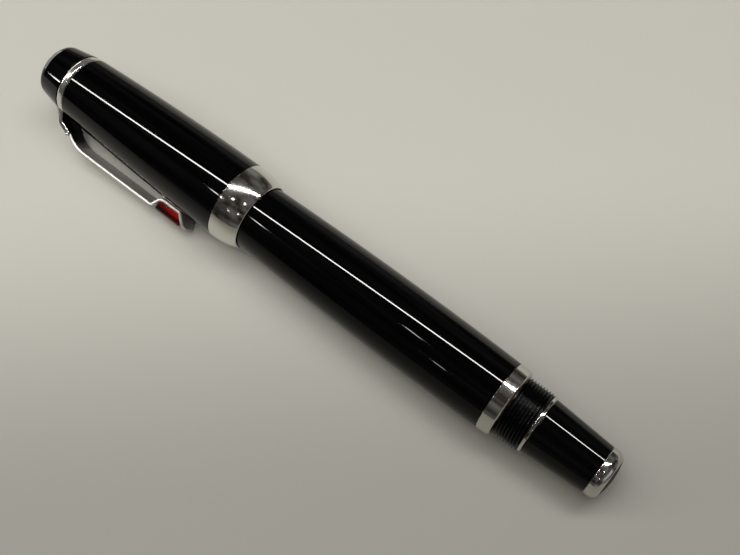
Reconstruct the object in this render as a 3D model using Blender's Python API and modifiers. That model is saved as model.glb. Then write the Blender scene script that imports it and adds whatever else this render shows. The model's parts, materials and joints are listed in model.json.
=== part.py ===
"""Fountain pen with a nib that is driven out by turning its tail.

The pen lies on a table with the cap screwed on, resting on cap, clip and barrel ring.
X runs from the finial towards the tail, Z is up, and the origin is under the pen's middle.
Every piece is modelled on the pen's own axis, with "along" counted from the finial's end.
"""

import math

import bmesh
import bpy
from mathutils import Matrix, Vector

MM = 0.001

# Roundness: sides of turned pieces that show, of inner ones and of a thread's turn, and rings along
SEGMENTS = 32
INNER_SEGMENTS = 20
THREAD_STEPS = 20
SLOT_STEPS = 16
CAP_TUBE_RINGS = 7
CAP_BAND_RINGS = 6
BARREL_RINGS = 8
FINIAL_RINGS = 4
END_RINGS = 4
CROWN_MIDDLE = 0.62
BEND_STEPS = 4
NIB_STATIONS = 8
NIB_COLUMNS = 8
PIN_SIDES = 12

# Fits
SEAT_GAP = 0.08 * MM        # between pieces that are fixed to each other
SLIP_GAP = 0.15 * MM        # around pieces that slide or turn
PULL_GAP = 0.15 * MM        # between thread crests, so that the cap pulls straight off

# Ink cartridge, which sets the size of everything around it
CARTRIDGE_RADIUS = 3.40 * MM
CARTRIDGE_LENGTH = 38.0 * MM
CARTRIDGE_WALL = 0.30 * MM
CARTRIDGE_NECK_RADIUS = 2.10 * MM
CARTRIDGE_NECK_LENGTH = 2.60 * MM

# Nib unit
NIB_TRAVEL = 13.0 * MM
NIB_TURNS = 2
NIB_TIP_RECESS = 1.20 * MM
NIB_EXPOSED = 13.3 * MM
NIB_TANG = 5.0 * MM
NIB_SHOULDER = 9.0 * MM
NIB_RADIUS = 2.55 * MM
NIB_TIP_RADIUS = 1.10 * MM
NIB_THICKNESS = 0.25 * MM
NIB_HALF_ANGLE = math.radians(82)
NIB_TIP_HALF_ANGLE = math.radians(12)
FEED_SETBACK = 2.6 * MM
FEED_TIP_RADIUS = 0.40 * MM
NIPPLE_RADIUS = 1.00 * MM
NIPPLE_LENGTH = 2.40 * MM
HOUSING_LENGTH = 8.0 * MM
HOUSING_NOSE = 2.70 * MM

# Carriage and the tubes that drive it
CARRIAGE_WALL = 0.30 * MM
CARRIAGE_TAIL = 0.80 * MM
CARRIAGE_LIP = 0.90 * MM
PIN_RADIUS = 0.50 * MM
PIN_SETBACK = 3.20 * MM
GUIDE_WALL = 0.30 * MM
GUIDE_TAIL = 0.60 * MM
SLEEVE_WALL = 0.35 * MM
SLEEVE_END = 3.00 * MM
PLUG_LENGTH = 2.20 * MM
SHAFT_RADIUS = 3.20 * MM
SHAFT_REACH = 4.60 * MM
WASHER_THICKNESS = 0.30 * MM

# Cap, from the finial's end
FINIAL_LENGTH = 5.67 * MM
FINIAL_STEP = 0.28 * MM
FINIAL_TAPER = 0.58 * MM
FINIAL_TAPER_POWER = 1.6
FINIAL_CROWN = 0.90 * MM
FINIAL_EDGE = 0.28 * MM
FINIAL_FLAT_RADIUS = 1.60 * MM
CLIP_RING_LENGTH = 1.03 * MM
CLIP_RING_STEP = 0.06 * MM
CAP_TUBE_LENGTH = 32.4 * MM
CAP_TUBE_TAPER = 1.23 * MM
CAP_TUBE_TAPER_POWER = 1.7
CAP_END_WALL = 1.80 * MM
CAP_BAND_LENGTH = 4.70 * MM
CAP_BAND_WALL = 0.53 * MM
CAP_BAND_CURVE_POWER = 2.4
CAP_LIP_WALL = 0.20 * MM
CAP_SPIGOT_WALL = 0.45 * MM
CAP_SPIGOT_LENGTH = 2.85 * MM
MOUTH_GAP = 0.14 * MM
LINER_WALL = 0.30 * MM
LINER_END_WALL = 0.80 * MM
LINER_NOSE_RADIUS = 3.50 * MM
BUSH_WALL = 0.16 * MM
BUSH_LENGTH = 3.20 * MM
FINIAL_SCREW_RADIUS = 1.20 * MM
FINIAL_SCREW_HEAD_RADIUS = 2.60 * MM
FINIAL_SCREW_HEAD = 1.30 * MM
FINIAL_SCREW_DEPTH = 3.60 * MM

# Thread that the cap screws on to, at the front and at the tail
THREAD_PITCH = 0.50 * MM
THREAD_STARTS = 3
THREAD_DEPTH = 0.22 * MM
THREAD_FILL = 0.84
THREAD_FOOT = 0.08 * MM
THREAD_RUNOUT = 0.30 * MM
THREAD_ENGAGEMENT = 2.40 * MM

# Barrel and grip
BARREL_OVERLAP = 0.93 * MM
BARREL_FRONT_WALL = 0.96 * MM
BARREL_REAR_WALL = 0.68 * MM
BARREL_SWELL = 0.22 * MM
BARREL_SWELL_SETBACK = 17.3 * MM
BARREL_RING_LENGTH = 2.12 * MM
BARREL_RING_CHAMFER = 0.28 * MM
NECK_WALL = 0.28 * MM
NECK_LENGTH = 6.70 * MM
SECTION_LENGTH = 12.3 * MM
SECTION_STEP = 0.08 * MM
SECTION_TAPER = 0.35 * MM
SECTION_WAIST = 0.33
SECTION_WAIST_TAPER = 0.75
SECTION_SPIGOT = 4.30 * MM
SECTION_RING_LENGTH = 0.90 * MM
SECTION_RING_FLARE = 0.10 * MM
REAR_BUSH_INSERT = 0.60 * MM

# Tail that turns
COLLAR_LENGTH = 4.25 * MM
KNOB_RING_LENGTH = 0.44 * MM
KNOB_RING_STEP = 0.02 * MM
KNOB_LENGTH = 10.1 * MM
KNOB_STEP = 0.12 * MM
KNOB_TAPER = 0.66 * MM
END_CAP_LENGTH = 2.36 * MM
END_CAP_CROWN = 0.55 * MM
END_CAP_EDGE = 0.75 * MM
END_CAP_FLAT_RADIUS = 1.20 * MM
END_SCREW_RADIUS = 1.20 * MM
END_SCREW_GRIP = 1.40 * MM
END_SCREW_COVER = 0.45 * MM

# Clip, with "out" counted from the cap's surface or from the pen's axis
CLIP_THICKNESS = 0.42 * MM
CLIP_HALF_WIDTH = 1.80 * MM
CLIP_STANDOFF = 2.13 * MM
CLIP_NECK_THICKNESS = 0.75 * MM
CLIP_NECK_HALF_WIDTH = 2.10 * MM
CLIP_NECK_REACH = 2.55 * MM
CLIP_NECK_RISE = 1.90 * MM
CLIP_NECK_BEND = 2.00 * MM
CLIP_ROOT_RISE = 0.10 * MM
CLIP_RISE_LENGTH = 4.05 * MM
CLIP_ARM_LENGTH = 14.6 * MM
CLIP_STEP_LENGTH = 1.60 * MM
CLIP_TRAY_LENGTH = 3.80 * MM
CLIP_TRAY_GAP = 0.10 * MM
CLIP_LIP_LENGTH = 1.40 * MM
CLIP_LIP_RISE = 1.35 * MM
CLIP_LIP_ROUND = 0.70 * MM
CLIP_BEND = 1.00 * MM
CLIP_BEND_SHARE = 0.45
STONE_SIDE_GAP = 0.15 * MM
STONE_FACET = 0.45 * MM
STONE_CROWN = 0.10 * MM
STONE_FRONT_LEAN = 0.85 * MM
STONE_REAR_LEAN = 1.30 * MM

# Radii, from the cartridge outwards
carriage_bore = CARTRIDGE_RADIUS + SLIP_GAP
carriage_radius = carriage_bore + CARRIAGE_WALL
guide_bore = carriage_radius + SLIP_GAP
guide_radius = guide_bore + GUIDE_WALL
sleeve_bore = guide_radius + SLIP_GAP
sleeve_radius = sleeve_bore + SLEEVE_WALL
barrel_rear_bore = sleeve_radius + SLIP_GAP
barrel_front_bore = guide_radius + SEAT_GAP
barrel_front_radius = barrel_front_bore + BARREL_FRONT_WALL
barrel_rear_radius = barrel_rear_bore + BARREL_REAR_WALL
barrel_swell_radius = barrel_rear_radius + BARREL_SWELL
thread_root = barrel_front_bore + NECK_WALL
thread_crest = thread_root + THREAD_DEPTH
housing_radius = carriage_bore - SLIP_GAP
section_rear_radius = thread_root - SECTION_STEP
section_mouth_bore = housing_radius + SLIP_GAP
liner_bore = section_rear_radius + SLIP_GAP
liner_radius = liner_bore + LINER_WALL
liner_nose_radius = LINER_NOSE_RADIUS + LINER_WALL
bush_crest = thread_crest + PULL_GAP
bush_root = bush_crest + THREAD_DEPTH
bush_radius = bush_root + BUSH_WALL
mouth_bore = max(barrel_front_radius + MOUTH_GAP, bush_radius + SEAT_GAP)
spigot_radius = mouth_bore + CAP_SPIGOT_WALL
band_bore = spigot_radius + SEAT_GAP
cap_radius = band_bore + CAP_BAND_WALL
cap_front_radius = cap_radius - CAP_TUBE_TAPER
clip_ring_radius = cap_front_radius - CLIP_RING_STEP
finial_radius = clip_ring_radius - FINIAL_STEP
finial_tip_radius = finial_radius - FINIAL_TAPER

# Places along the axis
clip_ring_front = FINIAL_LENGTH + SEAT_GAP
cap_tube_front = clip_ring_front + CLIP_RING_LENGTH + SEAT_GAP
cap_tube_rear = cap_tube_front + CAP_TUBE_LENGTH
band_front = cap_tube_rear + SEAT_GAP
cap_mouth = band_front + CAP_BAND_LENGTH
screw_head_front = cap_tube_front + CAP_END_WALL + SEAT_GAP
liner_front = screw_head_front + FINIAL_SCREW_HEAD + SEAT_GAP
liner_floor = liner_front + LINER_END_WALL
barrel_shoulder = cap_mouth - BARREL_OVERLAP
neck_front = barrel_shoulder - NECK_LENGTH
section_mouth = neck_front - SEAT_GAP - SECTION_LENGTH
section_front = section_mouth + SECTION_RING_LENGTH + SEAT_GAP
liner_step = section_mouth - 2 * SLIP_GAP
liner_rear = neck_front - SLIP_GAP
nib_tip = section_mouth + NIB_TIP_RECESS
housing_front = nib_tip + NIB_EXPOSED
housing_rear = housing_front + HOUSING_LENGTH
carriage_front = housing_front + HOUSING_NOSE
cartridge_front = housing_rear + SEAT_GAP
cartridge_rear = cartridge_front + CARTRIDGE_LENGTH
carriage_rear = cartridge_rear + CARRIAGE_TAIL
pin_place = carriage_rear - PIN_SETBACK
guide_front = neck_front + SECTION_SPIGOT + SEAT_GAP
guide_rear = carriage_rear + GUIDE_TAIL
plug_front = guide_rear + SLIP_GAP
sleeve_front = pin_place - NIB_TRAVEL - SLEEVE_END
sleeve_rear = plug_front + PLUG_LENGTH
washer_front = sleeve_rear + SEAT_GAP
rear_bush_front = washer_front + WASHER_THICKNESS + SEAT_GAP
barrel_rear = rear_bush_front + REAR_BUSH_INSERT
ring_front = barrel_rear + SEAT_GAP
ring_rear = ring_front + BARREL_RING_LENGTH
collar_front = ring_rear + SLIP_GAP
collar_rear = collar_front + COLLAR_LENGTH
knob_ring_front = collar_rear + SEAT_GAP
knob_front = knob_ring_front + KNOB_RING_LENGTH + SEAT_GAP
knob_rear = knob_front + KNOB_LENGTH
shaft_rear = knob_front + SHAFT_REACH
end_cap_front = knob_rear + SEAT_GAP
pen_length = end_cap_front + END_CAP_LENGTH
slot_width = 2 * (PIN_RADIUS + SLIP_GAP)
nib_lead = NIB_TRAVEL / NIB_TURNS


def cap_surface(along):
    """Radius of the cap tube's outside, widening towards its mouth."""
    share = (cap_tube_rear - along) / CAP_TUBE_LENGTH
    return cap_radius - CAP_TUBE_TAPER * max(share, 0.0) ** CAP_TUBE_TAPER_POWER


# Clip places: the strip's middle line, as distance along and out from the pen's axis
clip_neck_along = clip_ring_front + CLIP_RING_LENGTH / 2 + CLIP_NECK_REACH
clip_neck_out = clip_ring_radius + CLIP_NECK_RISE
clip_root_along = clip_neck_along + SEAT_GAP + CLIP_THICKNESS / 2
clip_arm_along = clip_root_along + CLIP_RISE_LENGTH
clip_step_along = clip_arm_along + CLIP_ARM_LENGTH
clip_tray_along = clip_step_along + CLIP_STEP_LENGTH
clip_lip_along = clip_tray_along + CLIP_TRAY_LENGTH
clip_end_along = clip_lip_along + CLIP_LIP_LENGTH
clip_root_out = clip_neck_out + CLIP_ROOT_RISE
clip_arm_out = cap_surface(clip_step_along) + CLIP_STANDOFF
clip_tray_out = cap_surface(clip_end_along) + CLIP_TRAY_GAP + CLIP_THICKNESS / 2
clip_end_out = clip_tray_out + CLIP_LIP_RISE

# Resting place: the cap's widest ring, the barrel ring's edge and the clip's lower corner touch the table
stone_top = max(clip_arm_out, clip_end_out) + STONE_CROWN
clip_reach = max(clip_arm_out + CLIP_THICKNESS / 2, stone_top)
clip_corner = math.hypot(clip_reach, CLIP_HALF_WIDTH)
pen_pitch = math.atan2(cap_radius - barrel_rear_radius, ring_front - cap_tube_rear)
finial_height = cap_radius * math.cos(pen_pitch) + cap_tube_rear * math.sin(pen_pitch)
clip_height = finial_height / math.cos(pen_pitch) - clip_step_along * math.tan(pen_pitch)
clip_roll = math.asin(clip_height / clip_corner) - math.atan2(CLIP_HALF_WIDTH, clip_reach)
clip_side = clip_reach * math.cos(clip_roll) + CLIP_HALF_WIDTH * math.sin(clip_roll)

for old in list(bpy.data.objects):
    bpy.data.objects.remove(old)

pen = bpy.data.collections.new("fountain_pen")
bpy.context.scene.collection.children.link(pen)
cutters = bpy.data.collections.new("cutters")
bpy.context.scene.collection.children.link(cutters)

pen_axis = bpy.data.objects.new("pen_axis", None)
pen.objects.link(pen_axis)
pen_axis.location = (-pen_length / 2 * math.cos(pen_pitch), (clip_side - cap_radius) / 2, finial_height)
pen_axis.rotation_euler = (clip_roll, pen_pitch, 0)

clip_root = bpy.data.objects.new("clip_root", None)
pen.objects.link(clip_root)
clip_root.parent = pen_axis
clip_root.location = (clip_root_along, -clip_root_out, 0)


def finish(name, colour, roughness, metallic):
    """Plain surface of one finish."""
    material = bpy.data.materials.new(name)
    material.use_nodes = True
    shader = material.node_tree.nodes["Principled BSDF"]
    shader.inputs["Base Color"].default_value = (*colour, 1.0)
    shader.inputs["Roughness"].default_value = roughness
    shader.inputs["Metallic"].default_value = metallic
    return material


black_resin = finish("black_resin", (0.008, 0.008, 0.010), 0.08, 0.0)
silver_plate = finish("silver_plate", (0.80, 0.79, 0.76), 0.12, 1.0)
red_stone = finish("red_stone", (0.45, 0.004, 0.010), 0.05, 0.0)
brass = finish("brass", (0.62, 0.46, 0.20), 0.28, 1.0)
steel = finish("steel", (0.55, 0.55, 0.56), 0.30, 1.0)
gold = finish("gold", (0.86, 0.62, 0.28), 0.18, 1.0)
feed_plastic = finish("feed_plastic", (0.012, 0.012, 0.013), 0.45, 0.0)
liner_plastic = finish("liner_plastic", (0.03, 0.03, 0.032), 0.50, 0.0)
cartridge_plastic = finish("cartridge_plastic", (0.02, 0.03, 0.16), 0.30, 0.0)
washer_plastic = finish("washer_plastic", (0.70, 0.68, 0.62), 0.50, 0.0)


def add_object(name, mesh, material, collection=pen, parent=pen_axis):
    """Object in the pen, or a cutter if it has no material."""
    item = bpy.data.objects.new(name, mesh)
    collection.objects.link(item)
    item.parent = parent
    if material:
        mesh.materials.append(material)
    else:
        item.hide_render = True
        item.display_type = "WIRE"
    return item


def along_axis(item):
    """Lay an object that was modelled on Z along the pen's axis."""
    item.rotation_euler = (0, math.pi / 2, 0)


def turned(name, outline, material, ring=False, segments=SEGMENTS):
    """Piece turned on the pen's axis from (along, radius) points.

    The outside runs from the tail's side to the finial's side. A ring comes back along its bore,
    and any other outline starts and ends on the axis.
    """
    mesh = bpy.data.meshes.new(name)
    points = [(radius, 0, along) for along, radius in outline]
    edges = [(i, i + 1) for i in range(len(points) - 1)]
    if ring:
        edges.append((len(points) - 1, 0))
    mesh.from_pydata(points, edges, [])
    item = add_object(name, mesh, material)
    along_axis(item)
    screw = item.modifiers.new("turn", "SCREW")
    screw.axis = "Z"
    screw.steps = segments
    screw.render_steps = segments
    screw.use_merge_vertices = True
    screw.merge_threshold = 0.000001
    screw.use_smooth_shade = True
    return item


def tube(name, front, rear, radius, bore, material, segments=SEGMENTS):
    """Plain turned tube."""
    outline = [(rear, radius), (front, radius), (front, bore), (rear, bore)]
    return turned(name, outline, material, True, segments)


def crown(end, edge_along, edge_radius, flat_radius, round_radius):
    """Points of a rounded edge and a low crown, from the side to the flat at the end.

    The side ends at edge_along with edge_radius, the edge is rounded and the crown rises to the end.
    """
    points = []
    towards = math.copysign(1.0, end - edge_along)
    inner = edge_radius - round_radius
    for step in range(1, END_RINGS + 1):
        turn = step / END_RINGS * math.pi / 2
        points.append((edge_along + towards * round_radius * math.sin(turn),
                       inner + round_radius * math.cos(turn)))
    crown_start = points[-1][0]
    middle = (inner + flat_radius) / 2
    points.append((crown_start + (end - crown_start) * CROWN_MIDDLE, middle))
    points += [(end, flat_radius), (end, 0)]
    return points


def boolean(item, other, operation):
    """Cut a piece with, or join it to, a hidden shape."""
    change = item.modifiers.new(other.name, "BOOLEAN")
    change.object = other
    change.operation = operation
    change.solver = "EXACT"


def swept_helix(name, section, turn, rise, steps, starts=1, first_turn=0.0):
    """Hidden helical bar: a flat (radius, along) section carried round the axis and along it."""
    mesh = bpy.data.meshes.new(name)
    shape = bmesh.new()
    for start in range(starts):
        spread = Matrix.Rotation(first_turn + start * 2 * math.pi / starts, 3, "Z")
        corners = [shape.verts.new(spread @ Vector((radius, 0, along))) for radius, along in section]
        face = shape.faces.new(corners)
        swept = [face, *face.edges, *face.verts]
        bmesh.ops.spin(shape, geom=swept, cent=(0, 0, 0), axis=(0, 0, 1), angle=turn,
                       steps=steps, dvec=(0, 0, rise / steps))
    bmesh.ops.recalc_face_normals(shape, faces=shape.faces)
    shape.to_mesh(mesh)
    shape.free()
    item = add_object(name, mesh, None, cutters)
    along_axis(item)
    return item


def thread(item, front, rear, root, crest):
    """Join a right-hand thread to a turned piece, between two places along it."""
    half_base = THREAD_FILL * THREAD_PITCH / 2
    lead = THREAD_PITCH * THREAD_STARTS
    turns = (rear - front - 2 * half_base) / lead
    base = root - math.copysign(THREAD_FOOT, crest - root)
    section = [(base, front), (crest, front + half_base), (base, front + 2 * half_base)]
    ridge = swept_helix(item.name + "_ridge", section, turns * 2 * math.pi, turns * lead,
                        round(turns * THREAD_STEPS), THREAD_STARTS)
    boolean(item, ridge, "UNION")


def strip(name, line, half_widths, thickness, material, parent, collection=pen):
    """Bent strip of even thickness about a middle line of (along, out) points."""
    mesh = bpy.data.meshes.new(name)
    shape = bmesh.new()
    rows = []
    for (along, out), half in zip(line, half_widths):
        rows.append([shape.verts.new((along, -out, side)) for side in (-half, half)])
    for near, far in zip(rows, rows[1:]):
        shape.faces.new((near[0], near[1], far[1], far[0]))
    shape.to_mesh(mesh)
    shape.free()
    item = add_object(name, mesh, material, collection, parent)
    solid = item.modifiers.new("thickness", "SOLIDIFY")
    solid.thickness = thickness
    solid.offset = 0.0
    solid.use_even_offset = True
    return item


def rounded(corners, radius):
    """Points of a line whose inner corners are rounded by arcs."""
    points = [corners[0]]
    for before, corner, after in zip(corners, corners[1:], corners[2:]):
        pivot = Vector(corner)
        arrive = (pivot - Vector(before)).normalized()
        leave = (Vector(after) - pivot).normalized()
        half_turn = arrive.angle(leave) / 2
        shortest = min((pivot - Vector(before)).length, (Vector(after) - pivot).length)
        reach = min(radius * math.tan(half_turn), CLIP_BEND_SHARE * shortest)
        start = pivot - arrive * reach
        end = pivot + leave * reach
        for step in range(BEND_STEPS + 1):
            t = step / BEND_STEPS
            points.append(tuple((1 - t) ** 2 * start + 2 * t * (1 - t) * pivot + t ** 2 * end))
    points.append(corners[-1])
    return points


# Finial: tapered resin end with a crisp edge and a low crown
finial_screw_tip = clip_ring_front - FINIAL_SCREW_DEPTH
screw_hole = FINIAL_SCREW_RADIUS + SEAT_GAP
finial_edge = FINIAL_CROWN + FINIAL_EDGE
finial_outline = [(finial_screw_tip - SEAT_GAP, 0), (finial_screw_tip - SEAT_GAP, screw_hole),
                  (FINIAL_LENGTH, screw_hole)]
for ring in range(FINIAL_RINGS + 1):
    share = ring / FINIAL_RINGS
    along = FINIAL_LENGTH + (finial_edge - FINIAL_LENGTH) * share
    finial_outline.append((along, finial_radius - FINIAL_TAPER * share ** FINIAL_TAPER_POWER))
finial_outline += crown(0, finial_edge, finial_tip_radius, FINIAL_FLAT_RADIUS, FINIAL_EDGE)
finial = turned("finial", finial_outline, black_resin)

# Clip ring: a disc under the finial, with the thick neck that carries the clip
clip_ring_rear = clip_ring_front + CLIP_RING_LENGTH
clip_ring = tube("clip_ring", clip_ring_front, clip_ring_rear, clip_ring_radius, screw_hole,
                 silver_plate)
ring_middle = (clip_ring_front + clip_ring_rear) / 2
neck_foot = clip_ring_radius - CLIP_NECK_THICKNESS
neck_line = rounded([(ring_middle, neck_foot), (ring_middle, clip_ring_radius + CLIP_NECK_RISE / 2),
                     (clip_neck_along, clip_neck_out)], CLIP_NECK_BEND)
clip_neck = strip("clip_neck", neck_line, [CLIP_NECK_HALF_WIDTH] * len(neck_line), CLIP_NECK_THICKNESS,
                  None, pen_axis, cutters)
boolean(clip_ring, clip_neck, "UNION")

# Clip arm: spring strip that stands off the cap, then steps in to a tray with a flared, rounded lip
clip_line = rounded([(clip_root_along, clip_root_out), (clip_arm_along, clip_arm_out),
                     (clip_step_along, clip_arm_out), (clip_tray_along, clip_tray_out),
                     (clip_lip_along, clip_tray_out), (clip_end_along, clip_end_out)], CLIP_BEND)
clip_half_widths = [CLIP_HALF_WIDTH] * len(clip_line)
lip_length = math.hypot(CLIP_LIP_LENGTH, CLIP_LIP_RISE)
for step in range(1, BEND_STEPS):
    turn = step / BEND_STEPS * math.pi / 2
    reach = CLIP_LIP_ROUND * math.sin(turn) / lip_length
    clip_line.append((clip_end_along + CLIP_LIP_LENGTH * reach, clip_end_out + CLIP_LIP_RISE * reach))
    clip_half_widths.append(CLIP_HALF_WIDTH * math.cos(turn))
clip_line = [(along - clip_root_along, out - clip_root_out) for along, out in clip_line]
clip_arm = strip("clip_arm", clip_line, clip_half_widths, CLIP_THICKNESS, silver_plate, clip_root)

# Clip stone: faceted block held between the step and the lip of the tray
stone_floor = clip_tray_out + CLIP_THICKNESS / 2 + SEAT_GAP
stone_front = clip_tray_along + CLIP_THICKNESS / 2 + SEAT_GAP
stone_rear = clip_lip_along - CLIP_THICKNESS / 2 - SEAT_GAP
stone_side = CLIP_HALF_WIDTH - STONE_SIDE_GAP
stone_shape = bmesh.new()
bmesh.ops.create_cube(stone_shape, size=1.0)
for corner in stone_shape.verts:
    outer = corner.co.y < 0
    if corner.co.x > 0:
        along = stone_rear + (STONE_REAR_LEAN if outer else 0)
    else:
        along = stone_front - (STONE_FRONT_LEAN if outer else 0)
    corner.co.x = along - clip_root_along
    corner.co.y = clip_root_out - (stone_top if outer else stone_floor)
    corner.co.z = math.copysign(stone_side, corner.co.z)
stone_mesh = bpy.data.meshes.new("clip_stone")
stone_shape.to_mesh(stone_mesh)
stone_shape.free()
clip_stone = add_object("clip_stone", stone_mesh, red_stone, parent=clip_root)
facets = clip_stone.modifiers.new("facets", "BEVEL")
facets.width = STONE_FACET
facets.segments = 1

# Cap tube: resin tube with an end wall, a stepped bore and a spigot under the band
spigot_rear = cap_tube_rear + CAP_SPIGOT_LENGTH
bush_front = spigot_rear - BUSH_LENGTH
cap_chamber = liner_nose_radius + SEAT_GAP
cap_bore = liner_radius + SEAT_GAP
cap_chamber_front = screw_head_front - SEAT_GAP
tube_outline = [(spigot_rear, spigot_radius), (cap_tube_rear, spigot_radius)]
for ring in range(CAP_TUBE_RINGS + 1):
    along = cap_tube_rear - CAP_TUBE_LENGTH * ring / CAP_TUBE_RINGS
    tube_outline.append((along, cap_surface(along)))
tube_outline += [(cap_tube_front, screw_hole), (cap_chamber_front, screw_hole),
                 (cap_chamber_front, cap_chamber), (liner_step - SEAT_GAP, cap_chamber),
                 (liner_step - SEAT_GAP, cap_bore), (bush_front - SEAT_GAP, cap_bore),
                 (bush_front - SEAT_GAP, mouth_bore), (spigot_rear, mouth_bore)]
cap_tube = turned("cap_tube", tube_outline, black_resin, ring=True)

# Finial screw: holds the finial, the clip ring and the cap tube together
finial_screw = turned("finial_screw", [
    (screw_head_front + FINIAL_SCREW_HEAD, 0),
    (screw_head_front + FINIAL_SCREW_HEAD, FINIAL_SCREW_HEAD_RADIUS),
    (screw_head_front, FINIAL_SCREW_HEAD_RADIUS),
    (screw_head_front, FINIAL_SCREW_RADIUS),
    (finial_screw_tip, FINIAL_SCREW_RADIUS),
    (finial_screw_tip, 0)], steel, segments=INNER_SEGMENTS)

# Inner cap: plastic liner with a narrow nose around the nib's room
inner_cap = turned("inner_cap", [
    (liner_floor, 0),
    (liner_floor, LINER_NOSE_RADIUS),
    (liner_step + LINER_WALL, LINER_NOSE_RADIUS),
    (liner_step + LINER_WALL, liner_bore),
    (liner_rear, liner_bore),
    (liner_rear, liner_radius),
    (liner_step, liner_radius),
    (liner_step, liner_nose_radius),
    (liner_front, liner_nose_radius),
    (liner_front, 0)], liner_plastic, segments=INNER_SEGMENTS)

# Cap thread bush: brass ring with the inner thread
engagement_rear = spigot_rear - THREAD_RUNOUT
engagement_front = engagement_rear - THREAD_ENGAGEMENT
cap_thread_bush = tube("cap_thread_bush", bush_front, spigot_rear, bush_radius, bush_root, brass,
                       INNER_SEGMENTS)
thread(cap_thread_bush, engagement_front, engagement_rear, bush_root, bush_crest)

# Cap band: plated band that curves in to a rounded lip
lip_radius = mouth_bore + CAP_LIP_WALL
band_outline = []
for ring in range(CAP_BAND_RINGS + 1):
    share = 1 - ring / CAP_BAND_RINGS
    along = band_front + CAP_BAND_LENGTH * share
    band_curve = (cap_radius - lip_radius) * share ** CAP_BAND_CURVE_POWER
    band_outline.append((along, cap_radius - band_curve))
band_outline += [(band_front, band_bore), (spigot_rear + SEAT_GAP, band_bore),
                 (spigot_rear + SEAT_GAP, mouth_bore), (cap_mouth, mouth_bore)]
cap_band = turned("cap_band", band_outline, silver_plate, ring=True)

# Barrel: swelling resin tube with a threaded neck and a stepped bore
barrel_swell_place = barrel_rear - BARREL_SWELL_SETBACK


def barrel_surface(along):
    """Radius of the barrel's outside, widest behind its middle."""
    if along < barrel_swell_place:
        share = (barrel_swell_place - along) / (barrel_swell_place - barrel_shoulder)
        return barrel_swell_radius - (barrel_swell_radius - barrel_front_radius) * share ** 2
    share = (along - barrel_swell_place) / BARREL_SWELL_SETBACK
    return barrel_swell_radius - BARREL_SWELL * share ** 2


barrel_outline = []
for ring in range(BARREL_RINGS + 1):
    along = barrel_rear + (barrel_shoulder - barrel_rear) * ring / BARREL_RINGS
    barrel_outline.append((along, barrel_surface(along)))
bore_step = sleeve_front - SLIP_GAP
barrel_outline += [(barrel_shoulder, thread_root), (neck_front, thread_root),
                   (neck_front, barrel_front_bore), (bore_step, barrel_front_bore),
                   (bore_step, barrel_rear_bore), (barrel_rear, barrel_rear_bore)]
barrel = turned("barrel", barrel_outline, black_resin, ring=True)
thread(barrel, engagement_front, engagement_rear, thread_root, thread_crest)

# Barrel ring: plated ring with a chamfer towards the tail
ring_bore = barrel_rear_bore
barrel_ring = turned("barrel_ring", [
    (ring_rear, barrel_rear_radius - 1.5 * BARREL_RING_CHAMFER),
    (ring_rear - BARREL_RING_CHAMFER, barrel_rear_radius - BARREL_RING_CHAMFER / 2),
    (ring_front, barrel_rear_radius),
    (ring_front, ring_bore),
    (ring_rear, ring_bore)], silver_plate, ring=True)

# Rear bush: bearing for the drive shaft, let in to the barrel's end
rear_bush = tube("rear_bush", rear_bush_front, ring_rear, barrel_rear_bore - SEAT_GAP,
                 SHAFT_RADIUS + SLIP_GAP, brass, INNER_SEGMENTS)

# Grip section: tapered resin sleeve that plugs in to the barrel's neck
section_front_radius = section_rear_radius - SECTION_TAPER
section_waist = section_front + SECTION_LENGTH * SECTION_WAIST
mouth_wall_rear = section_front + SECTION_RING_LENGTH
grip_section = turned("grip_section", [
    (neck_front + SECTION_SPIGOT, guide_radius),
    (neck_front - SEAT_GAP, guide_radius),
    (neck_front - SEAT_GAP, section_rear_radius),
    (section_waist, section_rear_radius - SECTION_TAPER * SECTION_WAIST_TAPER),
    (section_front, section_front_radius),
    (section_front, section_mouth_bore),
    (mouth_wall_rear, section_mouth_bore),
    (mouth_wall_rear, guide_bore),
    (neck_front + SECTION_SPIGOT, guide_bore)], black_resin, ring=True)

# Section ring: plated ring around the opening that the nib comes out of
section_ring = turned("section_ring", [
    (section_mouth + SECTION_RING_LENGTH, section_front_radius),
    (section_mouth + SECTION_RING_LENGTH / 2, section_front_radius + SECTION_RING_FLARE),
    (section_mouth, section_front_radius),
    (section_mouth, section_mouth_bore),
    (section_mouth + SECTION_RING_LENGTH, section_mouth_bore)], silver_plate, ring=True)

# Guide tube: fixed tube whose straight slots keep the carriage from turning
guide_tube = tube("guide_tube", guide_front, guide_rear, guide_radius, guide_bore, brass, INNER_SEGMENTS)
slot_length = NIB_TRAVEL + slot_width
slot_mesh = bpy.data.meshes.new("guide_slot")
slot_shape = bmesh.new()
bmesh.ops.create_cube(slot_shape, size=1.0)
bmesh.ops.scale(slot_shape, vec=(slot_length, slot_width, 2 * sleeve_radius), verts=slot_shape.verts)
bmesh.ops.translate(slot_shape, vec=(pin_place - NIB_TRAVEL / 2, 0, 0), verts=slot_shape.verts)
slot_shape.to_mesh(slot_mesh)
slot_shape.free()
guide_slot = add_object("guide_slot", slot_mesh, None, cutters)
boolean(guide_tube, guide_slot, "DIFFERENCE")

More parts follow.
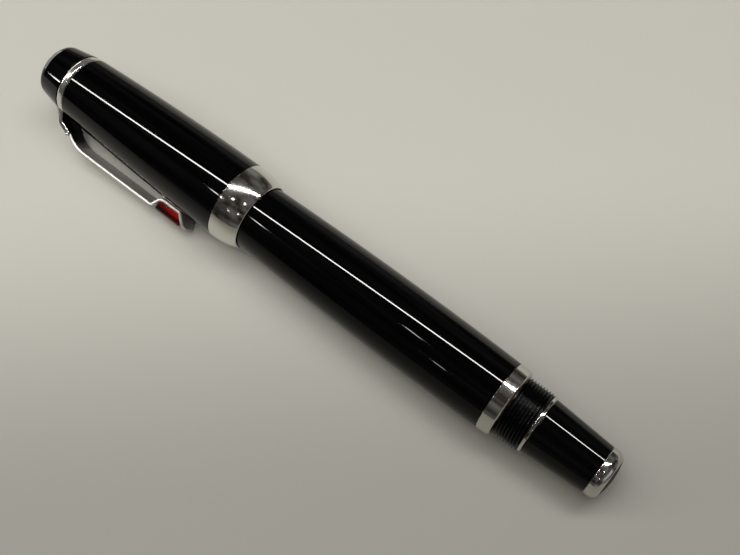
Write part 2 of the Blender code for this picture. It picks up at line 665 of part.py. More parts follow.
# Spiral sleeve: turning tube whose helical slots push the pins along
spiral_sleeve = tube("spiral_sleeve", sleeve_front, sleeve_rear, sleeve_radius, sleeve_bore, brass,
                     INNER_SEGMENTS)
slot_overrun = math.asin(slot_width / 2 / sleeve_bore)
slot_turn = NIB_TURNS * 2 * math.pi + 2 * slot_overrun
slot_start = pin_place + nib_lead * slot_overrun / (2 * math.pi)
slot_rise = -nib_lead * slot_turn / (2 * math.pi)
slot_section = [(sleeve_bore - SLIP_GAP, slot_start - slot_width / 2),
                (sleeve_radius + SLIP_GAP, slot_start - slot_width / 2),
                (sleeve_radius + SLIP_GAP, slot_start + slot_width / 2),
                (sleeve_bore - SLIP_GAP, slot_start + slot_width / 2)]
spiral_slot = swept_helix("spiral_slot", slot_section, slot_turn, slot_rise,
                          NIB_TURNS * SLOT_STEPS, starts=2, first_turn=-slot_overrun)
boolean(spiral_sleeve, spiral_slot, "DIFFERENCE")

# Drive shaft: plug in the sleeve's end, with the shaft that carries the tail
shaft_hole = END_SCREW_RADIUS + SEAT_GAP
screw_front = collar_front + END_SCREW_GRIP
drive_shaft = turned("drive_shaft", [
    (screw_front - SEAT_GAP, 0),
    (screw_front - SEAT_GAP, shaft_hole),
    (shaft_rear, shaft_hole),
    (shaft_rear, SHAFT_RADIUS),
    (sleeve_rear, SHAFT_RADIUS),
    (sleeve_rear, sleeve_bore - SEAT_GAP),
    (plug_front, sleeve_bore - SEAT_GAP),
    (plug_front, 0)], brass, segments=INNER_SEGMENTS)

# Friction washer: plastic ring that the sleeve turns against
friction_washer = tube("friction_washer", washer_front, washer_front + WASHER_THICKNESS,
                       sleeve_radius, SHAFT_RADIUS + SLIP_GAP, washer_plastic, INNER_SEGMENTS)

# Posting collar: threaded resin ring that takes the cap while writing
shaft_seat = SHAFT_RADIUS + SEAT_GAP
posting_collar = tube("posting_collar", collar_front, collar_rear, thread_root, shaft_seat, black_resin)
thread(posting_collar, collar_front + THREAD_RUNOUT / 2, collar_rear - THREAD_RUNOUT / 2,
       thread_root, thread_crest)

# Knob ring: thin plated ring between the thread and the knob
knob_ring = tube("knob_ring", knob_ring_front, knob_ring_front + KNOB_RING_LENGTH,
                 thread_root - KNOB_RING_STEP, shaft_seat, silver_plate)

# Turning knob: tapered resin tail
knob_radius = thread_root - KNOB_STEP
knob_end_radius = knob_radius - KNOB_TAPER
turning_knob = turned("turning_knob", [
    (knob_rear, knob_end_radius),
    ((knob_front + knob_rear) / 2, (knob_radius + knob_end_radius) / 2),
    (knob_front, knob_radius),
    (knob_front, shaft_seat),
    (shaft_rear + SEAT_GAP, shaft_seat),
    (shaft_rear + SEAT_GAP, shaft_hole),
    (knob_rear, shaft_hole)], black_resin, ring=True)

# End cap: plated button with a rounded shoulder and a low crown
screw_rear = pen_length - END_CAP_CROWN - SEAT_GAP - END_SCREW_COVER
end_edge = pen_length - END_CAP_CROWN - END_CAP_EDGE
end_outline = crown(pen_length, end_edge, knob_end_radius, END_CAP_FLAT_RADIUS, END_CAP_EDGE)
end_outline.reverse()
end_outline += [(end_edge, knob_end_radius), (end_cap_front, knob_end_radius),
                (end_cap_front, shaft_hole), (screw_rear + SEAT_GAP, shaft_hole),
                (screw_rear + SEAT_GAP, 0)]
end_cap = turned("end_cap", end_outline, silver_plate)

# End screw: stud that draws the end cap and the knob on to the shaft
end_screw = turned("end_screw", [
    (screw_rear, 0),
    (screw_rear, END_SCREW_RADIUS),
    (screw_front, END_SCREW_RADIUS),
    (screw_front, 0)], steel, segments=INNER_SEGMENTS)

# Carriage tube: holds the cartridge and the nib housing, with a lip at its rear
carriage_tube = turned("carriage_tube", [
    (carriage_rear, carriage_radius),
    (carriage_front, carriage_radius),
    (carriage_front, carriage_bore),
    (cartridge_rear + SEAT_GAP, carriage_bore),
    (cartridge_rear + SEAT_GAP, carriage_bore - CARRIAGE_LIP),
    (carriage_rear, carriage_bore - CARRIAGE_LIP)], brass, True, INNER_SEGMENTS)

# Carriage pins: run in the straight slots and in the helical slots
pin_foot = carriage_radius + SEAT_GAP
pin_length = sleeve_radius - SLIP_GAP / 2 - pin_foot
for pin_name, pin_side in (("carriage_pin_lower", -1), ("carriage_pin_upper", 1)):
    pin_mesh = bpy.data.meshes.new(pin_name)
    pin_shape = bmesh.new()
    bmesh.ops.create_cone(pin_shape, cap_ends=True, segments=PIN_SIDES, radius1=PIN_RADIUS,
                          radius2=PIN_RADIUS, depth=pin_length)
    pin_shape.to_mesh(pin_mesh)
    pin_shape.free()
    pin = add_object(pin_name, pin_mesh, steel)
    pin.location = (pin_place, 0, pin_side * (pin_foot + pin_length / 2))

# Nib housing: collar that holds nib and feed and screws in to the carriage
housing_bore = NIB_RADIUS + NIB_THICKNESS + SLIP_GAP
nib_housing = tube("nib_housing", housing_front, housing_rear, housing_radius, housing_bore, steel,
                   INNER_SEGMENTS)


def nib_radius(along):
    """Radius of the nib's inner face, opening out from the tip to the shoulder."""
    share = min(max((along - nib_tip) / NIB_SHOULDER, 0.0), 1.0)
    return NIB_TIP_RADIUS + (NIB_RADIUS - NIB_TIP_RADIUS) * share


# Nib: curved gold sheet that narrows to its point
nib_rear = housing_front + NIB_TANG
nib_places = [nib_tip + NIB_SHOULDER * station / NIB_STATIONS for station in range(NIB_STATIONS + 1)]
nib_places += [housing_front, nib_rear]
nib_shape = bmesh.new()
nib_rows = []
for along in nib_places:
    share = min((along - nib_tip) / NIB_SHOULDER, 1.0)
    widening = math.sin(share * math.pi / 2)
    half_angle = NIB_TIP_HALF_ANGLE + (NIB_HALF_ANGLE - NIB_TIP_HALF_ANGLE) * widening
    row = []
    for column in range(NIB_COLUMNS + 1):
        angle = half_angle * (2 * column / NIB_COLUMNS - 1)
        radius = nib_radius(along)
        row.append(nib_shape.verts.new((along, radius * math.sin(angle), radius * math.cos(angle))))
    nib_rows.append(row)
for front_row, rear_row in zip(nib_rows, nib_rows[1:]):
    for column in range(NIB_COLUMNS):
        nib_shape.faces.new((front_row[column], rear_row[column],
                             rear_row[column + 1], front_row[column + 1]))
nib_mesh = bpy.data.meshes.new("nib")
nib_shape.to_mesh(nib_mesh)
nib_shape.free()
nib = add_object("nib", nib_mesh, gold)
nib_sheet = nib.modifiers.new("thickness", "SOLIDIFY")
nib_sheet.thickness = NIB_THICKNESS
nib_sheet.offset = 1.0

# Feed: ink channel piece under the nib, with the nipple that opens the cartridge
feed_front = nib_tip + FEED_SETBACK
feed_rear = housing_rear - SEAT_GAP
feed_shoulder = nib_tip + NIB_SHOULDER
feed = turned("feed", [
    (feed_rear + NIPPLE_LENGTH, 0),
    (feed_rear + NIPPLE_LENGTH, NIPPLE_RADIUS),
    (feed_rear, NIPPLE_RADIUS),
    (feed_rear, NIB_RADIUS - SLIP_GAP),
    (feed_shoulder, NIB_RADIUS - SLIP_GAP),
    (feed_front, FEED_TIP_RADIUS),
    (feed_front, 0)], feed_plastic, segments=INNER_SEGMENTS)

# Ink cartridge: hollow, with a narrow open neck around the nipple
neck_hole = NIPPLE_RADIUS + SLIP_GAP
cartridge_shoulder = cartridge_front + CARTRIDGE_NECK_LENGTH
ink_cartridge = turned("ink_cartridge", [
    (cartridge_rear, 0),
    (cartridge_rear, CARTRIDGE_RADIUS),
    (cartridge_shoulder, CARTRIDGE_RADIUS),
    (cartridge_shoulder, CARTRIDGE_NECK_RADIUS),
    (cartridge_front, CARTRIDGE_NECK_RADIUS),
    (cartridge_front, neck_hole),
    (cartridge_shoulder + CARTRIDGE_WALL, neck_hole),
    (cartridge_shoulder + CARTRIDGE_WALL, CARTRIDGE_RADIUS - CARTRIDGE_WALL),
    (cartridge_rear - CARTRIDGE_WALL, CARTRIDGE_RADIUS - CARTRIDGE_WALL),
    (cartridge_rear - CARTRIDGE_WALL, 0)], cartridge_plastic, segments=INNER_SEGMENTS)
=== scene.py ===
import json
import math

import bmesh
import bpy
from mathutils import Matrix, Vector


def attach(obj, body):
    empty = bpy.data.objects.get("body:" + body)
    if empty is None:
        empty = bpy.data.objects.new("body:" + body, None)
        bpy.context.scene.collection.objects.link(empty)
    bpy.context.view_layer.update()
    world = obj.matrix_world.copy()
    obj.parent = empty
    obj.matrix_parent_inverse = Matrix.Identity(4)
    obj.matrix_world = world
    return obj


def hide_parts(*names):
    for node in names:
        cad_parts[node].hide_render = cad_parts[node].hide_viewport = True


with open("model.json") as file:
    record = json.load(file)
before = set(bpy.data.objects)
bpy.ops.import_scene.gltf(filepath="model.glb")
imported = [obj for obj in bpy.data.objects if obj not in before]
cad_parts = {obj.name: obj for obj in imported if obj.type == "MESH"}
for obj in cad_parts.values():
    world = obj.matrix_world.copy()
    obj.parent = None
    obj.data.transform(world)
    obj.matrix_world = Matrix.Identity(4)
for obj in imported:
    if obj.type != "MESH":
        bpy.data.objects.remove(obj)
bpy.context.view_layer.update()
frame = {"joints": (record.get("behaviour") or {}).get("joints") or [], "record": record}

# How the pen lies: capped, on its cap, its clip and its barrel ring, with the nose a little up.
# Every piece is shaped in the pen's own frame, whose X runs from the finial's end to the tail
# and whose -Y side carries the clip, and is then laid down by this matrix.
mm = 0.001
joints = {joint["name"]: joint for joint in frame["joints"]}
mounts = {mount["name"]: mount for mount in frame["record"]["mounts"]}
towards_tail = -Vector(joints["cap_pull"]["axis"]).normalized()
across_clip = -Vector(joints["clip_flex"]["axis"]).normalized()
away_from_clip = across_clip.cross(towards_tail)
lying = Matrix((towards_tail, away_from_clip, across_clip)).transposed().to_4x4()
lying.translation = Vector(mounts["finial_end"]["pos_m"])

# Barrel: the long resin tube, turned from bar and polished to a mirror, swelling behind its middle.
# Its neck goes inside the cap and carries the thread that the cap screws on to.
barrel_front, barrel_rear = 43.11, 89.42
barrel_front_radius, barrel_rear_radius = 5.34, 5.63
barrel_widest, barrel_widest_radius = 72.12, 5.85
neck_front, neck_radius, barrel_bore = 36.41, 4.66, 4.38
sleeve_room_front, sleeve_room = 66.06, 4.95


def turned(outline, closed=True, steps=160):
    """Shape turned on the pen's axis from (along, radius, rounding) corners in millimetres."""
    line = []
    for number, (along, radius, rounding) in enumerate(outline):
        here = Vector((along, radius))
        last = Vector(outline[number - 1][:2]) - here
        coming = Vector(outline[(number + 1) % len(outline)][:2]) - here
        if rounding and (closed or number > 0) and last.length > 3 * rounding:
            line.append((*(here + last.normalized() * rounding * 1.3), 0))
        line.append((along, radius, rounding))
        if rounding and (closed or number + 1 < len(outline)) and coming.length > 3 * rounding:
            line.append((*(here + coming.normalized() * rounding * 1.3), 0))
    shape = bmesh.new()
    corners = [shape.verts.new((along * mm, 0, radius * mm)) for along, radius, rounding in line]
    for corner, after in zip(corners, corners[1:] + corners[:1] if closed else corners[1:]):
        shape.edges.new((corner, after))
    for corner, (along, radius, rounding) in zip(corners, line):
        if rounding:
            bmesh.ops.bevel(shape, geom=[corner], offset=rounding * mm, offset_type="OFFSET",
                            segments=5, profile=0.5, affect="VERTICES", material=-1)
    bmesh.ops.spin(shape, geom=shape.verts[:] + shape.edges[:], cent=(0, 0, 0), axis=(1, 0, 0),
                   dvec=(0, 0, 0), angle=2 * math.pi, steps=steps, use_merge=True)
    bmesh.ops.remove_doubles(shape, verts=shape.verts, dist=0.0005 * mm)
    bmesh.ops.recalc_face_normals(shape, faces=shape.faces)
    return shape


def lay(name, shape, material, body, slot, *nodes):
    """Piece of the pen, laid where the pen lies, that moves with a body and stands for CAD nodes."""
    bmesh.ops.transform(shape, matrix=lying, verts=shape.verts)
    mesh = bpy.data.meshes.new(name)
    shape.to_mesh(mesh)
    shape.free()
    mesh.shade_smooth()
    mesh.set_sharp_from_angle(angle=math.radians(38))
    mesh.materials.append(material)
    piece = bpy.data.objects.new(name, mesh)
    bpy.context.scene.collection.objects.link(piece)
    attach(piece, body)
    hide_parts(*nodes)
    return piece


def barrel_radius(along):
    """Radius of the barrel's outside, which falls off from its widest place to both ends."""
    if along < barrel_widest:
        share = (barrel_widest - along) / (barrel_widest - barrel_front)
        return barrel_widest_radius - (barrel_widest_radius - barrel_front_radius) * share ** 2
    share = (along - barrel_widest) / (barrel_rear - barrel_widest)
    return barrel_widest_radius - (barrel_widest_radius - barrel_rear_radius) * share ** 2


def finish(name, colour, metallic, marks, gloss, relief, reflective=1.5):
    """Polished material: marks are how fine its polishing streaks are along X, Y and Z, a metre,
    gloss the roughness where it is best and worst polished, and relief the streaks' strength."""
    material = bpy.data.materials.new(name)
    material.use_nodes = True
    nodes, links = material.node_tree.nodes, material.node_tree.links
    shader = nodes["Principled BSDF"]
    shader.inputs["Metallic"].default_value = metallic
    shader.inputs["IOR"].default_value = reflective
    place = nodes.new("ShaderNodeTexCoord")
    stretching = nodes.new("ShaderNodeMapping")
    stretching.inputs["Scale"].default_value = marks
    streaks = nodes.new("ShaderNodeTexNoise")
    streaks.inputs["Scale"].default_value = 1.0
    streaks.inputs["Detail"].default_value = 4.0
    streaks.inputs["Roughness"].default_value = 0.6
    haze = nodes.new("ShaderNodeTexNoise")
    haze.inputs["Scale"].default_value = 260.0
    haze.inputs["Detail"].default_value = 3.0
    both = nodes.new("ShaderNodeMath")
    both.operation = "MULTIPLY"
    spread = nodes.new("ShaderNodeMapRange")
    spread.inputs["From Min"].default_value = 0.12
    spread.inputs["From Max"].default_value = 0.42
    spread.inputs["To Min"].default_value = gloss[0]
    spread.inputs["To Max"].default_value = gloss[1]
    tint = nodes.new("ShaderNodeValToRGB")
    tint.color_ramp.elements[0].position = 0.30
    tint.color_ramp.elements[0].color = (*[0.90 * part for part in colour], 1)
    tint.color_ramp.elements[1].position = 0.62
    tint.color_ramp.elements[1].color = (*colour, 1)
    grooves = nodes.new("ShaderNodeBump")
    grooves.inputs["Strength"].default_value = relief
    grooves.inputs["Distance"].default_value = 0.002 * mm
    links.new(place.outputs["Object"], stretching.inputs["Vector"])
    links.new(stretching.outputs["Vector"], streaks.inputs["Vector"])
    links.new(place.outputs["Object"], haze.inputs["Vector"])
    links.new(streaks.outputs["Fac"], both.inputs[0])
    links.new(haze.outputs["Fac"], both.inputs[1])
    links.new(both.outputs["Value"], spread.inputs["Value"])
    links.new(spread.outputs["Result"], shader.inputs["Roughness"])
    links.new(haze.outputs["Fac"], tint.inputs["Fac"])
    links.new(tint.outputs["Color"], shader.inputs["Base Color"])
    links.new(streaks.outputs["Fac"], grooves.inputs["Height"])
    links.new(grooves.outputs["Normal"], shader.inputs["Normal"])
    return material


black_resin = finish("polished_black_resin", (0.0006, 0.0006, 0.0007), 0.0, (60, 2600, 2600),
                     (0.02, 0.06), 0.03, 1.33)
barrel_outline = [(barrel_rear, sleeve_room, 0), (barrel_rear, barrel_rear_radius, 0.05)]
for ring in range(1, 40):
    along = barrel_rear + (barrel_front - barrel_rear) * ring / 40
    barrel_outline.append((along, barrel_radius(along), 0))
barrel_outline += [(barrel_front, barrel_front_radius, 0.12), (barrel_front, neck_radius, 0.05),
                   (neck_front, neck_radius, 0.12), (neck_front, barrel_bore, 0),
                   (sleeve_room_front, barrel_bore, 0), (sleeve_room_front, sleeve_room, 0)]
lay("barrel_shell", turned(barrel_outline), black_resin, "barrel", "black_resin", "barrel")

# Threads: the neck's, which holds the cap in use as a cover, and its twin on the tail, below.
# Both are cut in the resin with several starts, so that the cap needs few turns, and the cutter
# leaves them less bright than the polished tubes.
thread_pitch, thread_starts = 0.50, 3
thread_root, thread_crest, thread_seat = 4.66, 4.88, 0.12
crest_start, crest_end, crest_rounding = 0.38, 0.62, 0.03
neck_thread_front, neck_thread_rear = 39.41, 41.81
cut_resin = finish("cut_black_resin", (0.0006, 0.0006, 0.0007), 0.0, (900, 900, 900), (0.10, 0.18),
                   0.0, 1.33)


def threaded(front, rear, root, crest, other_wall, steps=120):
    """Ring with a right-hand thread between root and crest, and a plain wall on its other side."""
    shape = bmesh.new()
    lead = thread_pitch * thread_starts
    ridges = math.ceil((rear - front + 2 * lead) / thread_pitch)
    corners = []
    for ridge in range(ridges):
        foot = front - lead + ridge * thread_pitch
        corners.append(shape.verts.new((foot * mm, 0, root * mm)))
        corners.append(shape.verts.new(((foot + crest_start * thread_pitch) * mm, 0, crest * mm)))
        corners.append(shape.verts.new(((foot + crest_end * thread_pitch) * mm, 0, crest * mm)))
    for corner, after in zip(corners, corners[1:]):
        shape.edges.new((corner, after))
    bmesh.ops.bevel(shape, geom=corners[1:-1], offset=crest_rounding * mm, offset_type="OFFSET",
                    segments=2, profile=0.5, affect="VERTICES", material=-1)
    bmesh.ops.spin(shape, geom=shape.verts[:] + shape.edges[:], cent=(0, 0, 0), axis=(1, 0, 0),
                   dvec=(lead / steps * mm, 0, 0), angle=2 * math.pi, steps=steps)
    bmesh.ops.remove_doubles(shape, verts=shape.verts, dist=0.0005 * mm)
    for place, outwards in ((front, -1), (rear, 1)):
        bmesh.ops.bisect_plane(shape, geom=shape.verts[:] + shape.edges[:] + shape.faces[:],
                               plane_co=(place * mm, 0, 0), plane_no=(outwards, 0, 0), clear_outer=True)
    rim = [edge for edge in shape.edges if edge.is_boundary]
    walls = bmesh.ops.extrude_edge_only(shape, edges=rim)["geom"]
    for corner in [item for item in walls if isinstance(item, bmesh.types.BMVert)]:
        corner.co.yz = corner.co.yz.normalized() * other_wall * mm
    inner_rim = [item for item in walls if isinstance(item, bmesh.types.BMEdge) and item.is_boundary]
    bmesh.ops.bridge_loops(shape, edges=inner_rim)
    bmesh.ops.recalc_face_normals(shape, faces=shape.faces)
    return shape


neck_thread = threaded(neck_thread_front, neck_thread_rear, thread_root, thread_crest,
                       thread_root - thread_seat)
lay("barrel_neck_thread", neck_thread, cut_resin, "barrel", "black_resin")

# Barrel ring: plated brass ring pressed on the barrel's end, with a bright chamfer towards the tail.
# It is polished by turning, so its faint marks run round it.
silver_plate = finish("polished_silver_plate", (0.76, 0.745, 0.71), 1.0, (7800, 320, 320),
                      (0.07, 0.16), 0.0)
ring_front, ring_rear = 89.50, 91.62
ring_edge_radius, ring_chamfer = 5.52, 0.16
barrel_ring = turned([(ring_rear, sleeve_room, 0), (ring_rear, ring_edge_radius - ring_chamfer, 0.03),
                      (ring_rear - ring_chamfer, ring_edge_radius, 0.05),
                      (ring_front, barrel_rear_radius, 0.015), (ring_front, sleeve_room, 0)])
lay("barrel_trim_ring", barrel_ring, silver_plate, "barrel", "silver_plate", "barrel_ring")

# Grip section: short resin sleeve that the fingers hold, plugged in the barrel's neck.
# It narrows slightly to the mouth that the nib comes out of.
grip_front, grip_step, grip_waist, grip_rear, grip_plug = 25.01, 25.91, 29.07, 36.33, 40.71
grip_mouth_radius, grip_waist_radius, grip_rear_radius = 4.23, 4.32, 4.58
grip_mouth_bore, grip_bore, grip_plug_radius = 3.55, 4.00, 4.30
grip = turned([(grip_plug, grip_bore, 0), (grip_plug, grip_plug_radius, 0.05),
               (grip_rear, grip_plug_radius, 0), (grip_rear, grip_rear_radius, 0.06),
               (grip_waist, grip_waist_radius, 1.8), (grip_front, grip_mouth_radius, 0.05),
               (grip_front, grip_mouth_bore, 0.05), (grip_step, grip_mouth_bore, 0),
               (grip_step, grip_bore, 0)])
lay("grip_sleeve", grip, black_resin, "barrel", "black_resin", "grip_section")

# Section ring: plated ring round the nib's mouth, with a round outer face like a bead.
# It protects the resin's edge when the nib comes and goes.
bead_front, bead_middle, bead_rear, bead_radius = 24.03, 24.48, 24.93, 4.33
bead = turned([(bead_rear, grip_mouth_bore, 0), (bead_rear, grip_mouth_radius, 0.05),
               (bead_middle, bead_radius, 0.4), (bead_front, grip_mouth_radius - 0.05, 0.14),
               (bead_front, grip_mouth_bore, 0.10)])
lay("section_mouth_ring", bead, silver_plate, "barrel", "silver_plate", "section_ring")

# Tail thread: resin collar that turns with the knob, which takes the cap while the pen writes.
# Its fine ridges stay dark, with only a glint on each crest.
collar_front, collar_rear, collar_bore = 91.77, 96.02, 3.28
collar_root, collar_crest = 4.58, 4.90
tail_thread = threaded(collar_front, collar_rear, collar_root, collar_crest, collar_bore)
lay("tail_thread_collar", tail_thread, cut_resin, "knob", "black_resin", "posting_collar")

# Knob ring: thin plated ring between the tail's thread and the knob.
# It stands a little proud of both, with a flat face and rounded edges.
knob_ring_front, knob_ring_rear, knob_ring_radius, knob_ring_edge = 96.08, 96.56, 4.72, 0.09
knob_ring = turned([(knob_ring_rear, collar_bore, 0),
                    (knob_ring_rear, knob_ring_radius, knob_ring_edge),
                    (knob_ring_front, knob_ring_radius, knob_ring_edge),
                    (knob_ring_front, collar_bore, 0)])
lay("knob_thin_ring", knob_ring, silver_plate, "knob", "silver_plate", "knob_ring")

# Turning knob: tapered resin tail that the fingers turn to drive the nib out.
# It is drawn on to the shaft by the stud inside it.
knob_front, knob_rear = 96.62, 106.72
knob_front_radius, knob_rear_radius = 4.54, 3.88
knob_floor, screw_bore = 101.30, 1.28
knob = turned([(knob_rear, screw_bore, 0), (knob_rear, knob_rear_radius, 0.05),
               (knob_front, knob_front_radius, 0.10), (knob_front, collar_bore, 0),
               (knob_floor, collar_bore, 0), (knob_floor, screw_bore, 0)])
lay("knob_tail", knob, black_resin, "knob", "black_resin", "turning_knob")

# End cap: plated button on the tail, with a wide rounded shoulder and a low black crown let in to it.
# The button is a turned brass piece, screwed over the stud, and the crown is satin resin.
end_front, end_rear = 106.80, 109.16
crown_seat, crown_edge, crown_radius, crown_gap = 108.20, 108.72, 3.12, 0.03
shoulder, shoulder_rounding = ((108.40, 3.57), (107.95, 3.84), (107.45, 3.93)), 0.30
button = turned([(crown_seat, screw_bore, 0), (crown_seat, crown_radius + crown_gap, 0),
                 (crown_edge, crown_radius + crown_gap, 0.03), (crown_edge, crown_radius + 0.12, 0.05),
                 *[(*corner, shoulder_rounding) for corner in shoulder],
                 (end_front, knob_rear_radius + 0.01, 0.05), (end_front, screw_bore, 0)])
lay("end_button", button, silver_plate, "knob", "silver_plate", "end_cap")
satin_resin = finish("satin_black_resin", (0.002, 0.002, 0.002), 0.0, (900, 900, 900), (0.34, 0.46),
                     0.05, 1.18)
crown_outline = [(crown_seat + 0.02, 0, 0), (crown_seat + 0.02, crown_radius, 0),
                 (crown_edge - 0.04, crown_radius, 0.04)]
for ring in range(1, 13):
    share = 1 - ring / 12
    crown_height = (end_rear - crown_edge) * (1 - share ** 2)
    crown_outline.append((crown_edge + crown_height, crown_radius * share, 0))
lay("end_crown", turned(crown_outline, closed=False), satin_resin, "knob", "black_resin")

# Cap tube: resin tube shaped like a cigar's end, which widens from the clip to its mouth.
# The band is pressed over a thinner spigot at its mouth.
cap_front, cap_rear, spigot_rear = 6.76, 39.26, 42.11
cap_radius, cap_taper, spigot_radius = 6.55, 1.23, 5.94
chamber_front, chamber_radius = 8.66, 3.88
liner_room_front, liner_room, bush_room_front, bush_room = 23.65, 5.11, 38.83, 5.49
cap_outline = [(spigot_rear, bush_room, 0), (spigot_rear, spigot_radius, 0),
               (cap_rear, spigot_radius, 0), (cap_rear, cap_radius, 0.06)]
for ring in range(1, 40):
    along = cap_rear + (cap_front - cap_rear) * ring / 40
    cap_outline.append((along, cap_radius - cap_taper * (ring / 40) ** 1.7, 0))
cap_outline += [(cap_front, cap_radius - cap_taper, 0.10), (cap_front, screw_bore, 0),
                (chamber_front, screw_bore, 0), (chamber_front, chamber_radius, 0),
                (liner_room_front, chamber_radius, 0), (liner_room_front, liner_room, 0),
                (bush_room_front, liner_room, 0), (bush_room_front, bush_room, 0)]
lay("cap_shell", turned(cap_outline), black_resin, "cap", "black_resin", "cap_tube")

# Cap band: wide plated band round the cap's mouth, which curves in to a thin rounded lip.
# It is the pen's largest mirror.
band_front, band_step, band_rear, band_bore = 39.34, 42.19, 44.04, 6.02
lip_radius, lip_bore = 5.69, 5.49
band_outline = [(band_rear, lip_bore, 0.04), (band_rear, lip_radius, 0.14)]
for ring in range(1, 24):
    share = 1 - ring / 24
    band_outline.append((band_front + (band_rear - band_front) * share,
                         cap_radius - (cap_radius - lip_radius) * share ** 2.4, 0))
band_outline += [(band_front, cap_radius, 0.015), (band_front, band_bore, 0),
                 (band_step, band_bore, 0), (band_step, lip_bore, 0)]
lay("cap_mouth_band", turned(band_outline), silver_plate, "cap", "silver_plate", "cap_band")

# Finial: tapered resin end of the cap, with a narrow chamfer round its end and a low crown.
# A screw from inside the cap draws it on to the clip's ring.
finial_rear, finial_radius, finial_floor = 5.38, 5.20, 2.07
finial_tip, finial_tip_radius = 1.45, 4.46
finial_end = [(1.03, 4.29, 0.06), (0.56, 3.86, 0.22), (0.16, 2.90, 0.55), (0, 1.40, 0.7), (0, 0, 0)]
finial = turned([(finial_floor, 0, 0), (finial_floor, screw_bore, 0), (finial_rear, screw_bore, 0),
                 (finial_rear, finial_radius, 0.05), (finial_tip, finial_tip_radius, 0.04)]
                + finial_end, closed=False)
lay("finial_end", finial, black_resin, "cap", "black_resin", "finial")

# Clip ring: plated ring between finial and cap tube, with the thick neck that the clip grows from.
# The neck leaves the ring outwards and towards the tail, a little wider than the clip.
clip_ring_front, clip_ring_rear, clip_ring_radius, clip_ring_edge = 5.45, 6.68, 5.27, 0.32
clip_ring = turned([(clip_ring_rear, screw_bore, 0), (clip_ring_rear, clip_ring_radius, clip_ring_edge),
                    (clip_ring_front, clip_ring_radius - 0.05, clip_ring_edge),
                    (clip_ring_front, screw_bore, 0)])
satin_plate = finish("satin_silver_plate", (0.72, 0.71, 0.67), 0.91, (7800, 320, 320), (0.08, 0.19),
                     0.0)
lay("clip_root_ring", clip_ring, satin_plate, "cap", "silver_plate", "clip_ring")


def bent_bar(section, start, heading, moves, end_rounding=0.0, deep=0.0):
    """Bar on the clip's side of the pen, bent as a sheet worker bends it. The section's corners are
    (across, thick) and go round it, the start is (along, out), the heading is the angle that the
    bar leaves the pen's axis by, and each move is a run, a turn outwards, its radius, and how far
    the inner face stands in towards the cap after it, which is deep at the start."""
    shape = bmesh.new()
    inner_face = shape.verts.layers.int.new("inner_face")
    place = Vector((start[0], -start[1], 0))
    angle = math.radians(heading)
    outwards = Vector((-math.sin(angle), -math.cos(angle), 0))
    rim = []
    for across, thick in section:
        rim.append(shape.verts.new((place + outwards * (thick or -deep) + Vector((0, 0, across))) * mm))
        rim[-1][inner_face] = thick == 0
    half_width = max(across for across, thick in section)
    loop = [shape.edges.new(pair) for pair in zip(rim, rim[1:] + rim[:1])]

    def draw_out(change):
        grown = bmesh.ops.extrude_edge_only(shape, edges=loop)["geom"]
        rim[:] = [item for item in grown if isinstance(item, bmesh.types.BMVert)]
        loop[:] = [item for item in grown if isinstance(item, bmesh.types.BMEdge)
                   and item.verts[0] in rim and item.verts[1] in rim]
        inner = [corner for corner in rim if corner[inner_face]]
        bmesh.ops.translate(shape, verts=inner, vec=-outwards * change * mm)

    for run, turn, radius, deeper in moves:
        steps = math.ceil(abs(turn) / 5)
        change = (deeper - deep) / (steps or 3)
        for share in (0.04, 0.92, 0.04):
            draw_out(0 if steps else change)
            step = Vector((math.cos(angle), -math.sin(angle), 0)) * run * share
            bmesh.ops.translate(shape, verts=rim, vec=step * mm)
            place += step
        centre = place + outwards * math.copysign(radius, turn)
        part_turn = Matrix.Rotation(-math.radians(turn) / max(steps, 1), 3, "Z")
        for number in range(steps):
            draw_out(change)
            bmesh.ops.rotate(shape, verts=rim, cent=centre * mm, matrix=part_turn)
            place = centre + part_turn @ (place - centre)
            outwards = part_turn @ outwards
        angle += math.radians(turn)
        deep = deeper
    width, reach = half_width, 0.0
    for number in range(1, 9 if end_rounding else 1):
        share = math.radians(90 * number / 8)
        narrower = half_width - end_rounding + end_rounding * math.cos(share)
        draw_out(0)
        step = Vector((math.cos(angle), -math.sin(angle), 0)) * (end_rounding * math.sin(share) - reach)
        bmesh.ops.translate(shape, verts=rim, vec=step * mm)
        bmesh.ops.scale(shape, verts=rim, vec=(1, 1, narrower / width))
        width, reach = narrower, end_rounding * math.sin(share)
    bmesh.ops.holes_fill(shape, edges=[edge for edge in shape.edges if edge.is_boundary])
    bmesh.ops.recalc_face_normals(shape, faces=shape.faces)
    return shape


def crowned_section(half_width, thick, crown, outer_round):
    """Section of a bar whose edges are crowned on the cap's side and have a small round outside."""
    flat, steepest = half_width - 0.55, math.radians(60)
    half = [(flat, 0)]
    for number in range(9):
        lean = steepest - math.radians(7.5 * number)
        half.append((half_width - crown + crown * math.cos(lean),
                     crown * (math.sin(steepest) - math.sin(lean)) * (number > 0)))
    for number in range(5):
        lean = math.radians(22.5 * number)
        half.append((half_width - outer_round + outer_round * math.cos(lean),
                     thick - outer_round + outer_round * math.sin(lean)))
    half.append((flat, thick))
    return half + [(-across, thick) for across, thick in reversed(half)]


# Painted shade on the clip's inner face: full up to the first distance along the pen, gone from the
# second.
root_shade_painted_until, root_shade_gone_from = 10.0, 12.4


